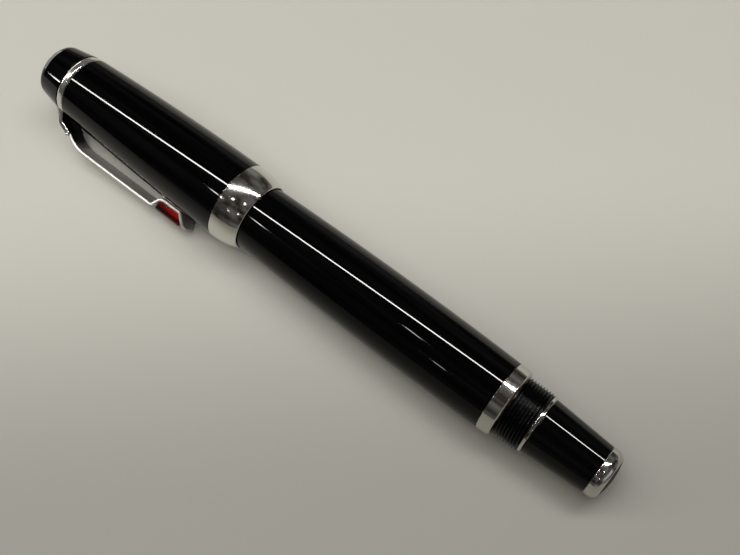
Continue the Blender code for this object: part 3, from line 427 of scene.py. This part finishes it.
def plate_with_painted_root_shade(name, metallic, gloss):
    """Plate with painted shade on the clip's inner face near its root: its colour is darkened there to
    stand for the deep shade that face reflects from under the cap.
    """
    material = finish(name, (0.76, 0.745, 0.71), metallic, (320, 7800, 7800), gloss, 0.0)
    nodes, links = material.node_tree.nodes, material.node_tree.links
    colour = nodes["Principled BSDF"].inputs["Base Color"]
    place = nodes.new("ShaderNodeTexCoord")
    along = nodes.new("ShaderNodeVectorMath")
    along.operation = "DOT_PRODUCT"
    along.inputs[1].default_value = towards_tail
    painted_root_shade = nodes.new("ShaderNodeMapRange")
    painted_root_shade.interpolation_type = "SMOOTHSTEP"
    finial_along = towards_tail.dot(lying.translation)
    painted_root_shade.inputs["From Min"].default_value = finial_along + root_shade_painted_until * mm
    painted_root_shade.inputs["From Max"].default_value = finial_along + root_shade_gone_from * mm
    painted_root_shade.inputs["To Min"].default_value = 0.98
    painted_root_shade.inputs["To Max"].default_value = 0.0
    inside = nodes.new("ShaderNodeAttribute")
    inside.attribute_name = "inner_face"
    painted_shade_share = nodes.new("ShaderNodeMath")
    painted_shade_share.operation = "MULTIPLY"
    painted_shade_colour = nodes.new("ShaderNodeMix")
    painted_shade_colour.data_type = "RGBA"
    # Near-black colour of the painted shade.
    painted_shade_colour.inputs[7].default_value = (0.004, 0.004, 0.004, 1)
    links.new(place.outputs["Object"], along.inputs[0])
    links.new(along.outputs["Value"], painted_root_shade.inputs["Value"])
    links.new(painted_root_shade.outputs["Result"], painted_shade_share.inputs[0])
    links.new(inside.outputs["Fac"], painted_shade_share.inputs[1])
    links.new(painted_shade_share.outputs["Value"], painted_shade_colour.inputs["Factor"])
    links.new(colour.links[0].from_socket, painted_shade_colour.inputs[6])
    links.new(painted_shade_colour.outputs[2], colour)
    return material


# The neck's inner face carries the painted shade near the root.
neck_plate = plate_with_painted_root_shade("polished_neck_plate", 1.0, (0.18, 0.32))
neck_width, neck_thick = 2.10, 0.62
neck_start, neck_heading, neck_deep = (5.93, 4.40), 62, 0.10
neck_bends = [(1.86, -40, 0.35, 0.10), (2.10, 0, 0, -0.06)]
neck = bent_bar(crowned_section(neck_width, neck_thick, 0.12, 0.06), neck_start, neck_heading,
                neck_bends, deep=neck_deep)
root_rear, root_out, root_flare = 5.75, 5.40, 0.38
for corner in neck.verts:
    if corner.co.x < root_rear * mm and corner.co.y > -root_out * mm:
        corner.co.x -= root_flare * mm
seat_thick, seat_long, seat_overhang, seat_rounding = 0.70, 0.34, 0.08, 0.15
seat_place, seat_lean = (8.70, -7.43, 0), -33
seat = bmesh.ops.create_cube(neck, size=1.0)["verts"]
bmesh.ops.scale(neck, vec=Vector((seat_long, seat_thick, 2 * (neck_width + seat_overhang))) * mm,
                verts=seat)
seat_edges = list({edge for corner in seat for edge in corner.link_edges})
seat_round = bmesh.ops.bevel(neck, geom=seat_edges, offset=seat_rounding * mm, offset_type="OFFSET",
                             segments=4, profile=0.5, affect="EDGES", material=-1)["faces"]
seat = list({corner for face in seat_round for corner in face.verts})
bmesh.ops.rotate(neck, verts=seat, cent=(0, 0, 0),
                 matrix=Matrix.Rotation(math.radians(seat_lean), 3, "Z"))
bmesh.ops.translate(neck, verts=seat, vec=Vector(seat_place) * mm)
lay("clip_neck", neck, neck_plate, "cap", "silver_plate")

# Clip arm: plated spring strip that stands off the cap, then steps in to a tray with a flared lip.
# Its edges are crowned on the cap's side, and the tray nearly touches the cap to grip a pocket.
# The strip's inner face carries the painted shade near the root.
clip_plate = plate_with_painted_root_shade("polished_clip_plate", 0.90, (0.42, 0.54))
strip_half_width, strip_thick, strip_end_rounding, strip_deep = 1.80, 0.47, 1.25, 0.12
strip_start, strip_heading = (8.92, 7.10), 33
strip_bends = [(0.65, -33.35, 5.6, 0), (14.67, -60.95, 0.45, 0), (0.92, 61.3, 1.6, 0),
               (3.06, 48.5, 0.65, 0), (1.28, 0, 0, 0)]
strip = bent_bar(crowned_section(strip_half_width, strip_thick, 0.33, 0.06), strip_start, strip_heading,
                 strip_bends, strip_end_rounding, deep=strip_deep)
lay("clip_strip", strip, clip_plate, "clip", "silver_plate", "clip_arm")

# Clip stone: long red stone, cut with stepped facets, held between the tray's step and its lip.
# It is clear and deep red; the darker bands of its far facets showing through are painted into its
# colour by depth, and it is painted brighter towards its rear end.
stone_front, stone_rear, stone_half_width = 28.96, 32.66, 1.72
stone_floor, stone_darkest, stone_top = 6.89, 8.66, 8.76
stone_front_slope, stone_rear_slope = 0.60, 0.95
stone_facet, stone_nose_rounding = 0.36, 0.32
red_stone = bpy.data.materials.new("faceted_red_stone")
red_stone.use_nodes = True
stone_nodes, stone_links = red_stone.node_tree.nodes, red_stone.node_tree.links
stone_shader = stone_nodes["Principled BSDF"]
stone_shader.inputs["IOR"].default_value = 1.76
stone_shader.inputs["Roughness"].default_value = 0.03
stone_shader.inputs["Transmission Weight"].default_value = 0.30
stone_place = stone_nodes.new("ShaderNodeTexCoord")
stone_depth = stone_nodes.new("ShaderNodeVectorMath")
stone_depth.operation = "DOT_PRODUCT"
stone_depth.inputs[1].default_value = -away_from_clip
stone_along = stone_nodes.new("ShaderNodeVectorMath")
stone_along.operation = "DOT_PRODUCT"
stone_along.inputs[1].default_value = towards_tail
# Painted light: the stone's colour is scaled up from its front to its rear end.
stone_painted_light = stone_nodes.new("ShaderNodeMapRange")
stone_painted_light.interpolation_type = "SMOOTHSTEP"
stone_painted_light.inputs["From Min"].default_value = towards_tail.dot(lying.translation) + stone_front * mm
stone_painted_light.inputs["From Max"].default_value = towards_tail.dot(lying.translation) + stone_rear * mm
stone_painted_light.inputs["To Min"].default_value = 0.34
stone_painted_light.inputs["To Max"].default_value = 1.05
stone_painted_lit = stone_nodes.new("ShaderNodeVectorMath")
stone_painted_lit.operation = "SCALE"
stone_share = stone_nodes.new("ShaderNodeMapRange")
axis_out = -away_from_clip.dot(lying.translation)
stone_share.inputs["From Min"].default_value = axis_out + stone_floor * mm
stone_share.inputs["From Max"].default_value = axis_out + stone_darkest * mm
# Painted reflection: bright and dark red bands by depth stand for the far facets seen through the
# stone; the red itself is the stone's own.
stone_painted_bands = stone_nodes.new("ShaderNodeValToRGB")
stone_painted_bands.color_ramp.elements[0].position = 0.0
stone_painted_bands.color_ramp.elements[0].color = (0.20, 0.002, 0.002, 1)
stone_painted_bands.color_ramp.elements[1].position = 1.0
stone_painted_bands.color_ramp.elements[1].color = (0.070, 0.001, 0.001, 1)
for position, colour in ((0.16, (0.42, 0.005, 0.003)), (0.38, (0.36, 0.004, 0.003)),
                         (0.50, (0.050, 0.0005, 0.0005)), (0.68, (0.035, 0.0004, 0.0004)),
                         (0.80, (0.11, 0.001, 0.001))):
    band = stone_painted_bands.color_ramp.elements.new(position)
    band.color = (*colour, 1)
stone_links.new(stone_place.outputs["Object"], stone_depth.inputs[0])
stone_links.new(stone_depth.outputs["Value"], stone_share.inputs["Value"])
stone_links.new(stone_share.outputs["Result"], stone_painted_bands.inputs["Fac"])
stone_links.new(stone_place.outputs["Object"], stone_along.inputs[0])
stone_links.new(stone_along.outputs["Value"], stone_painted_light.inputs["Value"])
stone_links.new(stone_painted_bands.outputs["Color"], stone_painted_lit.inputs[0])
stone_links.new(stone_painted_light.outputs["Result"], stone_painted_lit.inputs["Scale"])
stone_links.new(stone_painted_lit.outputs["Vector"], stone_shader.inputs["Base Color"])
stone = bmesh.new()
bmesh.ops.create_cube(stone, size=1.0)
for corner in stone.verts:
    outer = corner.co.y < 0
    along = stone_rear + stone_rear_slope * outer
    if corner.co.x < 0:
        along = stone_front - stone_front_slope * outer
    out = stone_top if outer else stone_floor
    corner.co = (along * mm, -out * mm, math.copysign(stone_half_width * mm, corner.co.z))
stone_edges = [edge for edge in stone.edges if abs(edge.verts[0].co.x - edge.verts[1].co.x) > 2 * mm]
stone_edges += [edge for edge in stone.edges if all(corner.co.y < -8 * mm for corner in edge.verts)]
bmesh.ops.bevel(stone, geom=list(set(stone_edges)), offset=stone_facet * mm, offset_type="OFFSET",
                segments=1, profile=0.5, affect="EDGES", material=-1)
stone_nose = [edge for edge in stone.edges
              if abs(edge.verts[0].co.z - edge.verts[1].co.z) > 2 * mm
              and all(corner.co.x < (stone_front + 0.34) * mm for corner in edge.verts)]
bmesh.ops.bevel(stone, geom=stone_nose, offset=stone_nose_rounding * mm, offset_type="OFFSET",
                segments=3, profile=0.5, affect="EDGES", material=-1)
bmesh.ops.recalc_face_normals(stone, faces=stone.faces)
clip_stone = lay("clip_red_stone", stone, red_stone, "clip", "red_stone", "clip_stone")
clip_stone.data.shade_flat()

# Cap thread bush and inner cap: what shows in the cap's mouth when it is off.
# A brass ring with the inner thread, and a moulded plastic liner that closes round the grip.
brass = finish("turned_brass", (0.66, 0.47, 0.19), 1.0, (4200, 160, 160), (0.14, 0.30), 0.20)
bush_front, bush_rear, bush_root, bush_crest, bush_outside = 38.91, 42.11, 5.25, 5.03, 5.41
bush = threaded(bush_front, bush_rear, bush_root, bush_crest, bush_outside)
lay("cap_inner_thread", bush, brass, "cap", "brass", "cap_thread_bush")
liner_plastic = finish("moulded_liner_plastic", (0.022, 0.022, 0.024), 0.0, (900, 900, 900),
                       (0.34, 0.55), 0.30)
liner_front, liner_floor, liner_step, liner_rear = 10.12, 10.92, 24.03, 36.26
liner_nose_bore, liner_bore, liner_wall = 3.50, 4.73, 0.30
liner = turned([(liner_floor, 0, 0), (liner_floor, liner_nose_bore, 0.4),
                (liner_step, liner_nose_bore, 0.05), (liner_step, liner_bore, 0.05),
                (liner_rear, liner_bore, 0.08), (liner_rear, liner_bore + liner_wall, 0.08),
                (liner_step - liner_wall, liner_bore + liner_wall, 0.15),
                (liner_step - liner_wall, liner_nose_bore + liner_wall, 0),
                (liner_front, liner_nose_bore + liner_wall, 0.3), (liner_front, 0, 0)],
               closed=False, steps=96)
lay("cap_liner_tube", liner, liner_plastic, "cap_liner", "liner_plastic", "inner_cap")

# Nib: gold sheet, rolled round the feed and ground to a point, with a slit from it to a round hole.
# It is clamped with the feed in its housing, and comes out of the grip when the knob is turned.
gold = finish("polished_gold", (0.83, 0.60, 0.27), 1.0, (300, 6000, 6000), (0.06, 0.16), 0.0)
nib_tip, nib_shoulder, nib_rear, nib_thick = 25.23, 34.23, 43.53, 0.25
nib_hole, nib_hole_radius, nib_slit = 32.20, 0.55, 0.03
nib_tip_radius, nib_body_radius, nib_tip_angle, nib_body_angle = 1.12, 2.57, 12, 82
nib_rows = []
for first, last, count in ((nib_tip, nib_hole - nib_hole_radius, 24),
                           (nib_hole - nib_hole_radius, nib_hole + nib_hole_radius, 20),
                           (nib_hole + nib_hole_radius, nib_shoulder, 8), (nib_shoulder, nib_rear, 12)):
    nib_rows += [first + (last - first) * row / count for row in range(count)]
nib_rows.append(nib_rear)
nib_columns = 14
nib = bmesh.new()
bmesh.ops.create_grid(nib, x_segments=len(nib_rows) - 1, y_segments=nib_columns, size=0.5)
for corner in nib.verts:
    row = round((corner.co.x + 0.5) * (len(nib_rows) - 1))
    along = nib_rows[row]
    grown = min((along - nib_tip) / (nib_shoulder - nib_tip), 1)
    radius = nib_tip_radius + (nib_body_radius - nib_tip_radius) * grown
    edge_angle = math.radians(nib_tip_angle + (nib_body_angle - nib_tip_angle) * grown)
    opening = math.sqrt(max(nib_hole_radius ** 2 - (along - nib_hole) ** 2, 0))
    if along < nib_hole:
        opening = max(opening, nib_slit)
    slit_angle = math.asin(opening / radius)
    angle = slit_angle + (edge_angle - slit_angle) * (corner.co.y + 0.5)
    corner.co = Vector((along, radius * math.sin(angle), radius * math.cos(angle))) * mm
other_half = bmesh.ops.duplicate(nib, geom=nib.verts[:] + nib.edges[:] + nib.faces[:])["geom"]
other_corners = [item for item in other_half if isinstance(item, bmesh.types.BMVert)]
bmesh.ops.scale(nib, verts=other_corners, vec=(1, -1, 1))
bmesh.ops.remove_doubles(nib, verts=nib.verts, dist=0.002 * mm)
bmesh.ops.recalc_face_normals(nib, faces=nib.faces)
bmesh.ops.solidify(nib, geom=nib.faces[:], thickness=-(nib_thick - 0.04) * mm)
bmesh.ops.recalc_face_normals(nib, faces=nib.faces)
lay("gold_nib", nib, gold, "nib_carriage", "gold", "nib")
steel = finish("turned_steel", (0.52, 0.52, 0.53), 1.0, (5200, 220, 220), (0.16, 0.32), 0.10)
point = bmesh.new()
bmesh.ops.create_uvsphere(point, u_segments=24, v_segments=16, radius=0.30 * mm)
bmesh.ops.scale(point, verts=point.verts, vec=(1.1, 0.95, 0.85))
bmesh.ops.translate(point, verts=point.verts, vec=Vector((nib_tip + 0.20, 0, 1.14)) * mm)
lay("nib_point", point, steel, "nib_carriage", "steel")

# Feed: moulded black plastic core under the nib, with a comb of thin fins that holds spare ink.
# Its thin tail pierces the cartridge.
feed_plastic = finish("moulded_feed_plastic", (0.010, 0.010, 0.011), 0.0, (1800, 1800, 1800),
                      (0.30, 0.48), 0.30)
feed_tip, feed_shoulder, feed_rear, feed_tail = 27.83, 34.23, 46.45, 48.85
feed_tip_radius, feed_radius, feed_tail_radius = 0.37, 2.37, 0.92
feed_outline = [(feed_tail, 0, 0), (feed_tail, feed_tail_radius, 0.15),
                (feed_rear, feed_tail_radius + 0.06, 0), (feed_rear, feed_radius + 0.01, 0.10)]
fin_count, fin_pitch, fin_gap, fin_depth, last_fin = 12, 0.56, 0.26, 0.45, 37.90
for fin in range(fin_count):
    rear = last_fin - fin * fin_pitch
    for along in (rear, rear - fin_gap):
        grown = min((along - feed_tip) / (feed_shoulder - feed_tip), 1)
        outer = feed_tip_radius + (feed_radius - feed_tip_radius) * grown
        corners = [(along, outer, 0.03), (along, outer - fin_depth, 0)]
        feed_outline += corners if along == rear else corners[::-1]
feed_outline += [(feed_tip, feed_tip_radius + 0.01, 0.12), (feed_tip, 0, 0)]
feed = turned(feed_outline, closed=False, steps=72)
lay("ink_feed", feed, feed_plastic, "nib_carriage", "feed_plastic", "feed")

# Nib housing: turned steel sleeve that clamps nib and feed and screws in the carriage.
# Three shallow grooves round it give the fingers a hold when it is unscrewed.
housing_front, housing_rear, housing_bore, housing_radius = 38.53, 46.53, 2.95, 3.38
groove_count, groove_pitch, last_groove, groove_depth = 3, 0.80, 42.40, 0.10
groove_slope, groove_width = 0.06, 0.36
housing_outline = [(housing_rear, housing_bore, 0), (housing_rear, housing_radius, 0.08)]
for groove in range(groove_count):
    rear = last_groove - groove * groove_pitch
    housing_outline += [(rear, housing_radius, 0.03),
                        (rear - groove_slope, housing_radius - groove_depth, 0),
                        (rear - groove_width + groove_slope, housing_radius - groove_depth, 0),
                        (rear - groove_width, housing_radius, 0.03)]
housing_outline += [(housing_front, housing_radius, 0.15), (housing_front, housing_bore, 0.06)]
lay("nib_collar", turned(housing_outline, steps=96), steel, "nib_carriage", "steel", "nib_housing")

# Inner works: the guide, the spiral that drives the carriage, its pins, the studs and the cartridge.
# Their CAD shapes are right as they are, so each only takes its own finish.
blue_cartridge = finish("blown_ink_cartridge", (0.02, 0.03, 0.16), 0.0, (700, 700, 700),
                        (0.16, 0.30), 0.10)
washer_plastic = finish("pressed_washer_plastic", (0.66, 0.64, 0.58), 0.0, (900, 900, 900),
                        (0.40, 0.58), 0.20)
for node, inner_finish in (("guide_tube", brass), ("rear_bush", brass), ("spiral_sleeve", brass),
                           ("drive_shaft", brass), ("carriage_tube", brass),
                           ("carriage_pin_lower", steel), ("carriage_pin_upper", steel),
                           ("finial_screw", steel), ("end_screw", steel),
                           ("ink_cartridge", blue_cartridge), ("friction_washer", washer_plastic)):
    bpy.data.objects[node].material_slots[0].material = inner_finish

# Studio: pale warm-grey table under one long tube lamp, which draws the line along the pen.
# A wide soft tube and a fill lamp light the table, and the small lamps only show in the polish.
# The room is pale near the horizon and dark overhead, so the polished black stays black.
scene = bpy.context.scene
scene.view_settings.view_transform = "Standard"
table_shape = bmesh.new()
bmesh.ops.create_grid(table_shape, x_segments=1, y_segments=1, size=2.0)
table_mesh = bpy.data.meshes.new("table_top")
table_shape.to_mesh(table_mesh)
table_shape.free()
table = bpy.data.objects.new("table_top", table_mesh)
scene.collection.objects.link(table)
table_finish = bpy.data.materials.new("pale_table")
table_finish.use_nodes = True
table_nodes, table_links = table_finish.node_tree.nodes, table_finish.node_tree.links
table_nodes["Principled BSDF"].inputs["Roughness"].default_value = 0.45
table_nodes["Principled BSDF"].inputs["IOR"].default_value = 1.4
table_place = table_nodes.new("ShaderNodeTexCoord")
# Painted shade on the table: its colour is painted darker along one diagonal across the pen, and darker
# again towards its edges, standing in for the room's light falling off.
table_painted_slope = table_nodes.new("ShaderNodeVectorMath")
table_painted_slope.operation = "DOT_PRODUCT"
table_painted_slope.inputs[1].default_value = (0.669, -0.743, 0)
table_painted_share = table_nodes.new("ShaderNodeMapRange")
table_painted_share.interpolation_type = "SMOOTHSTEP"
table_painted_share.inputs["From Min"].default_value = -0.020
table_painted_share.inputs["From Max"].default_value = 0.036
table_painted_tone = table_nodes.new("ShaderNodeValToRGB")
table_painted_tone.color_ramp.elements[0].color = (0.490, 0.480, 0.436, 1)
table_painted_tone.color_ramp.elements[1].color = (0.232, 0.228, 0.199, 1)
table_reach = table_nodes.new("ShaderNodeVectorMath")
table_reach.operation = "LENGTH"
table_painted_edge_shade = table_nodes.new("ShaderNodeMapRange")
table_painted_edge_shade.interpolation_type = "SMOOTHSTEP"
table_painted_edge_shade.inputs["From Min"].default_value = 0.12
table_painted_edge_shade.inputs["From Max"].default_value = 0.70
table_painted_edge_shade.inputs["To Min"].default_value = 1.0
table_painted_edge_shade.inputs["To Max"].default_value = 0.16
table_painted_shade = table_nodes.new("ShaderNodeVectorMath")
table_painted_shade.operation = "SCALE"
table_links.new(table_place.outputs["Object"], table_painted_slope.inputs[0])
table_links.new(table_painted_slope.outputs["Value"], table_painted_share.inputs["Value"])
table_links.new(table_painted_share.outputs["Result"], table_painted_tone.inputs["Fac"])
table_links.new(table_place.outputs["Object"], table_reach.inputs[0])
table_links.new(table_reach.outputs["Value"], table_painted_edge_shade.inputs["Value"])
table_links.new(table_painted_tone.outputs["Color"], table_painted_shade.inputs[0])
table_links.new(table_painted_edge_shade.outputs["Result"], table_painted_shade.inputs["Scale"])
table_links.new(table_painted_shade.outputs["Vector"], table_nodes["Principled BSDF"].inputs["Base Color"])
table_mesh.materials.append(table_finish)


def lamp(name, place, aim, width, height, radiance, colour=(1.0, 0.985, 0.95)):
    """Flat soft lamp that shines from its place towards a point."""
    light = bpy.data.lights.new(name, "AREA")
    light.shape = "RECTANGLE"
    light.size = width
    light.size_y = height
    light.energy = radiance * math.pi * width * height
    light.color = colour
    shining = bpy.data.objects.new(name, light)
    shining.location = place
    shining.rotation_euler = (Vector(aim) - Vector(place)).to_track_quat("-Z", "Y").to_euler()
    scene.collection.objects.link(shining)
    return shining


tube_place, tube_length, tube_turn = (-1.371, -0.784, 1.0), 4.70, math.radians(38.95)
under_tube = (tube_place[0], tube_place[1], 0)
tube = lamp("tube_lamp", tube_place, under_tube, tube_length, 0.038, 62.0)
tube.visible_diffuse = False
soft_tube = lamp("soft_tube_lamp", tube_place, under_tube, tube_length, 0.35, 4.9)
soft_tube.visible_glossy = False
short_tube = lamp("short_tube_lamp", (-0.535, -0.735, 1.0), (-0.535, -0.735, 0), 0.036, 0.028, 75.0)
for straight_lamp in (tube, soft_tube, short_tube):
    straight_lamp.rotation_euler = (0, 0, tube_turn)
ceiling_places = ((-0.155, -0.41), (0.245, -0.235), (-0.17, -1.34), (0.35, -1.13))
for number, (across, back) in enumerate(ceiling_places):
    lamp("ceiling_lamp_%d" % number, (across, back, 1.0), (0, 0, 0), 0.032, 0.032, 26.0)
window = lamp("window_lamp", (-0.62, 0.08, 0.11), (0, 0, 0.01), 0.60, 0.20, 4.5)
window.visible_diffuse = False
tail_side = lamp("tail_side_lamp", (0.60, -0.085, 0.235), (0, 0, 0.01), 0.55, 0.24, 0.30)
tail_side.visible_diffuse = False
fill = lamp("fill_lamp", (-0.15, -0.40, 1.10), (0, 0, 0), 0.7, 0.7, 3.9)
fill.visible_glossy = False

room = bpy.data.worlds.new("room")
room.use_nodes = True
scene.world = room
room_nodes, room_links = room.node_tree.nodes, room.node_tree.links
direction = room_nodes.new("ShaderNodeTexCoord")
parts = room_nodes.new("ShaderNodeSeparateXYZ")
side = room_nodes.new("ShaderNodeMapRange")
side.inputs["From Min"].default_value = -0.6
side.inputs["From Max"].default_value = 0.8
side.inputs["To Min"].default_value = 0.012
side.inputs["To Max"].default_value = 0.085
ceiling = room_nodes.new("ShaderNodeMapRange")
ceiling.inputs["From Min"].default_value = 0.25
ceiling.inputs["From Max"].default_value = 0.60
level = room_nodes.new("ShaderNodeMix")
level.data_type = "FLOAT"
level.inputs["B"].default_value = 0.05
horizon = room_nodes.new("ShaderNodeMapRange")
horizon.interpolation_type = "SMOOTHSTEP"
horizon.inputs["From Max"].default_value = 0.34
horizon.inputs["To Min"].default_value = 0.075
horizon.inputs["To Max"].default_value = 0.0
lighter = room_nodes.new("ShaderNodeMath")
lighter.operation = "MAXIMUM"
clouds = room_nodes.new("ShaderNodeTexNoise")
clouds.inputs["Scale"].default_value = 2.8
clouds.inputs["Detail"].default_value = 3.0
shade = room_nodes.new("ShaderNodeMapRange")
shade.inputs["From Min"].default_value = 0.38
shade.inputs["From Max"].default_value = 0.62
shade.inputs["To Min"].default_value = 0.25
shade.inputs["To Max"].default_value = 2.3
brightness = room_nodes.new("ShaderNodeMath")
brightness.operation = "MULTIPLY"
room_links.new(direction.outputs["Generated"], parts.inputs["Vector"])
room_links.new(parts.outputs["Y"], side.inputs["Value"])
room_links.new(parts.outputs["Z"], ceiling.inputs["Value"])
room_links.new(ceiling.outputs["Result"], level.inputs["Factor"])
room_links.new(side.outputs["Result"], level.inputs["A"])
room_links.new(direction.outputs["Generated"], clouds.inputs["Vector"])
room_links.new(clouds.outputs["Fac"], shade.inputs["Value"])
room_links.new(parts.outputs["Z"], horizon.inputs["Value"])
room_links.new(level.outputs["Result"], lighter.inputs[0])
room_links.new(horizon.outputs["Result"], lighter.inputs[1])
room_links.new(lighter.outputs["Value"], brightness.inputs[0])
room_links.new(shade.outputs["Result"], brightness.inputs[1])
room_links.new(brightness.outputs["Value"], room_nodes["Background"].inputs["Strength"])
warmth = room_nodes.new("ShaderNodeValToRGB")
warmth.color_ramp.elements[0].position = 0.36
warmth.color_ramp.elements[0].color = (1.0, 0.78, 0.62, 1)
warmth.color_ramp.elements[1].position = 0.58
warmth.color_ramp.elements[1].color = (0.97, 0.97, 0.95, 1)
room_links.new(clouds.outputs["Fac"], warmth.inputs["Fac"])
room_links.new(warmth.outputs["Color"], room_nodes["Background"].inputs["Color"])

camera_lens = bpy.data.cameras.new("camera")
camera_lens.lens = 54.49
camera_lens.sensor_width = 36.0
camera_lens.clip_start = 0.01
camera = bpy.data.objects.new("camera", camera_lens)
camera.location = (0.05304, -0.05617, 0.15744)
camera.rotation_euler = (math.radians(26.138), math.radians(-1.055), math.radians(38.636))
scene.collection.objects.link(camera)
scene.camera = camera
